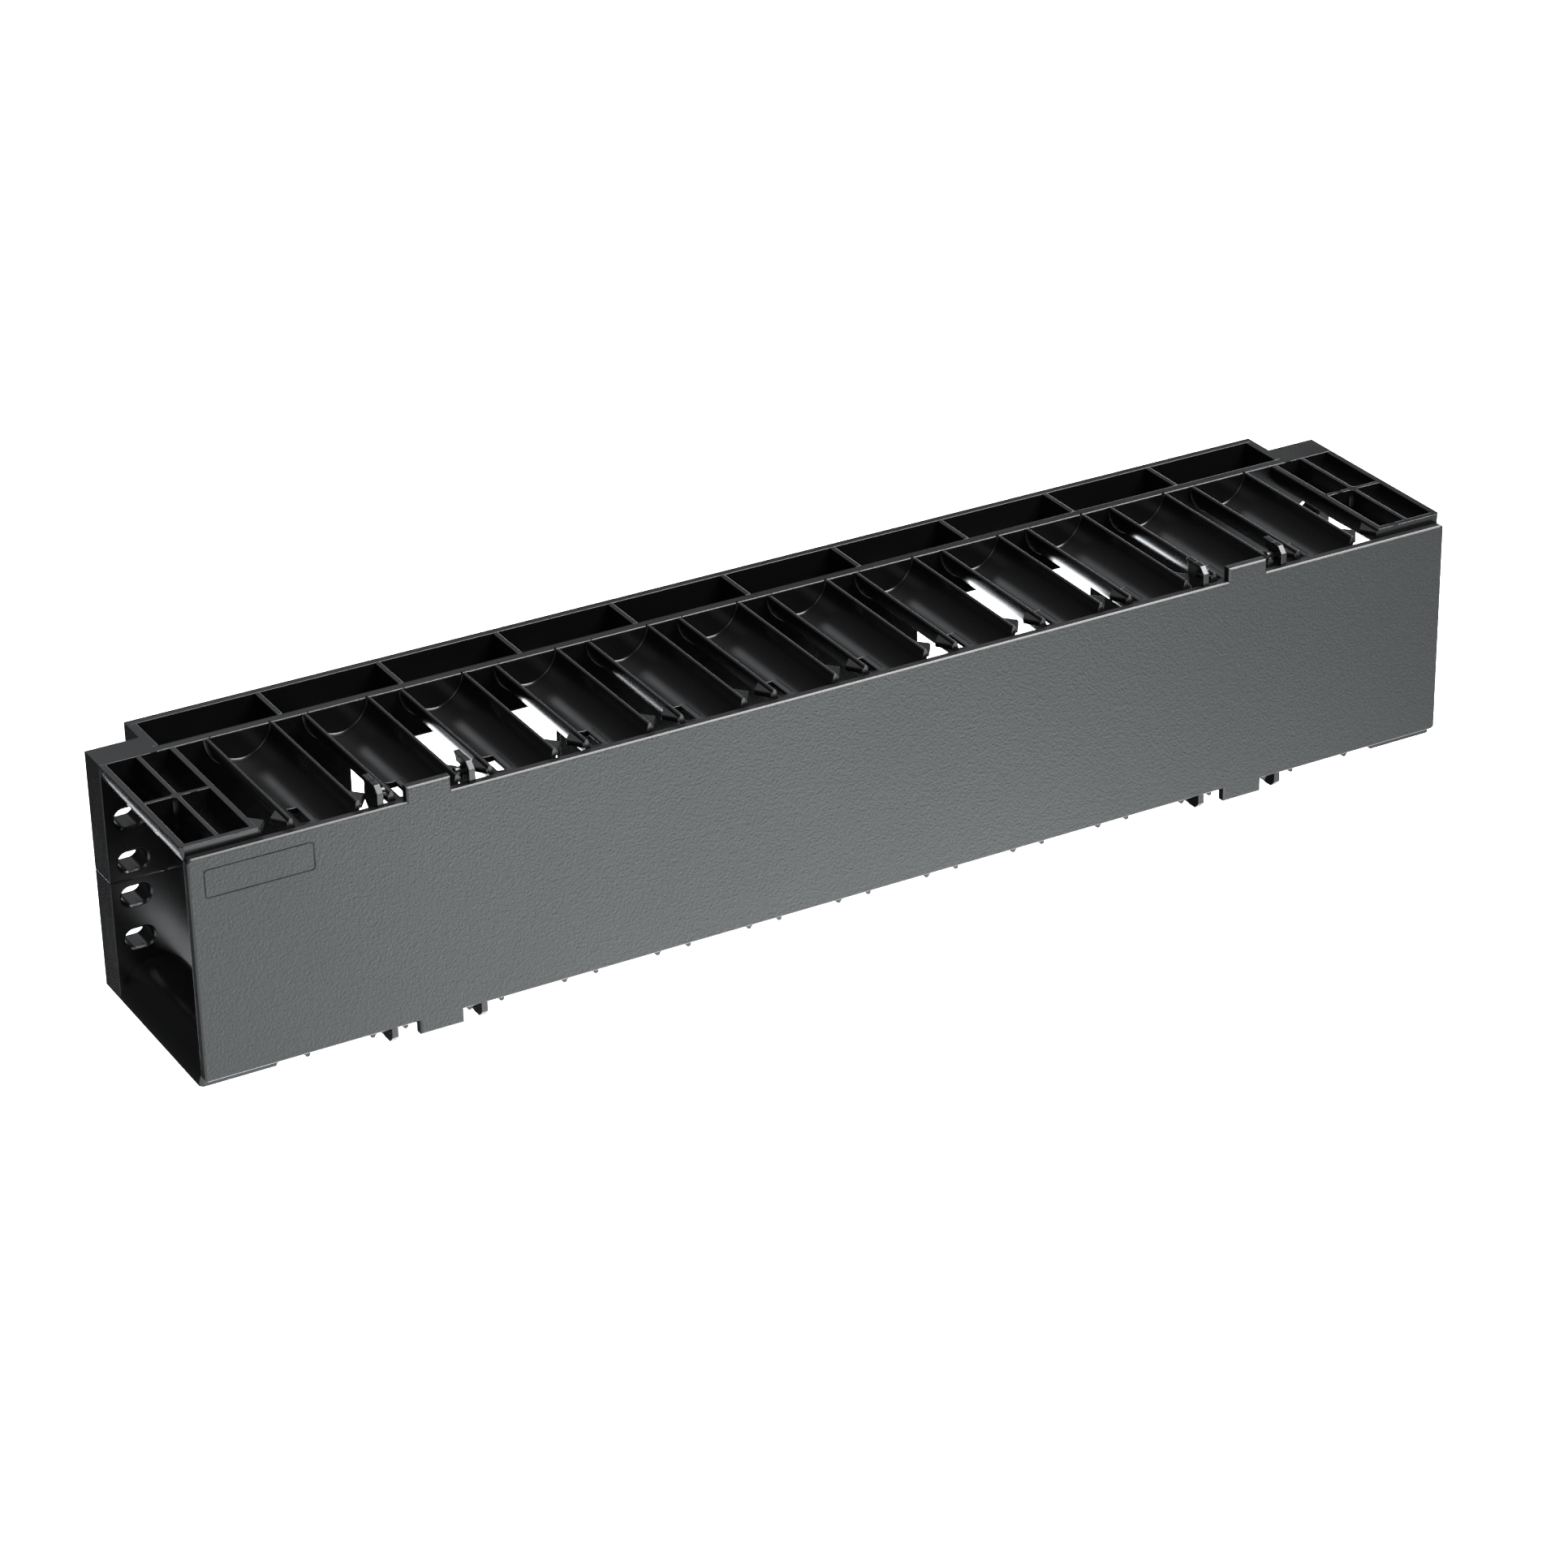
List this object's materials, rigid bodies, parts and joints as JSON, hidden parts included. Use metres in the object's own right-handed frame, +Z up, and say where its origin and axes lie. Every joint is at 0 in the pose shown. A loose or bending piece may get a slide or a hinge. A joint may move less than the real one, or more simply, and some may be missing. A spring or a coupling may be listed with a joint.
{
  "type": "horizontal cable manager",
  "caption": "Two-rack-unit plastic cable manager for a 19-inch rack: fingered channel with end ears, pass-through windows and a hinged front cover.",
  "frame": {"origin": "centre of the rack slot pattern, on the rear (mounting) face of the ears, at mid-width and mid-height", "axes": "+X along the width, +Y into the rack, +Z up; the cover faces -Y"},
  "size_m": [0.4826, 0.095, 0.0938],
  "materials": {
    "body_plastic": "glossy moulded black",
    "cover_plastic": "fine satin texture"
  },
  "bodies": {
    "body": {"upper_back_wall": "body_plastic", "upper_trough_rear_wall": "body_plastic", "upper_trough_floor": "body_plastic", "upper_trough_cross_walls": "body_plastic", "upper_pass_through_sleeves": "body_plastic", "upper_ear_left": "body_plastic", "upper_ear_right": "body_plastic", "upper_end_box_left": "body_plastic", "upper_end_box_right": "body_plastic", "upper_finger_01": "body_plastic", "upper_finger_02": "body_plastic", "upper_finger_03": "body_plastic", "upper_finger_04": "body_plastic", "upper_finger_05": "body_plastic", "upper_finger_06": "body_plastic", "upper_finger_07": "body_plastic", "upper_finger_08": "body_plastic", "upper_finger_09": "body_plastic", "upper_finger_10": "body_plastic", "upper_finger_11": "body_plastic", "upper_finger_12": "body_plastic", "upper_retaining_tips": "body_plastic", "lower_back_wall": "body_plastic", "lower_trough_rear_wall": "body_plastic", "lower_trough_floor": "body_plastic", "lower_trough_cross_walls": "body_plastic", "lower_pass_through_sleeves": "body_plastic", "lower_ear_left": "body_plastic", "lower_ear_right": "body_plastic", "lower_end_box_left": "body_plastic", "lower_end_box_right": "body_plastic", "lower_finger_01": "body_plastic", "lower_finger_02": "body_plastic", "lower_finger_03": "body_plastic", "lower_finger_04": "body_plastic", "lower_finger_05": "body_plastic", "lower_finger_06": "body_plastic", "lower_finger_07": "body_plastic", "lower_finger_08": "body_plastic", "lower_finger_09": "body_plastic", "lower_finger_10": "body_plastic", "lower_finger_11": "body_plastic", "lower_finger_12": "body_plastic", "lower_retaining_tips": "body_plastic"},
    "cover": {"cover_panel": "cover_plastic", "upper_cover_hook_02_left": "body_plastic", "upper_cover_hook_02_right": "body_plastic", "upper_cover_hook_11_left": "body_plastic", "upper_cover_hook_11_right": "body_plastic", "lower_cover_hook_02_left": "body_plastic", "lower_cover_hook_02_right": "body_plastic", "lower_cover_hook_11_left": "body_plastic", "lower_cover_hook_11_right": "body_plastic"}
  },
  "joints": [
    {"name": "cover_hinge", "type": "hinge", "parent": "body", "child": "cover", "pos_m": [0, -0.0747, -0.0424], "axis": [1, 0, 0], "range_deg": [0, 120]}
  ]
}
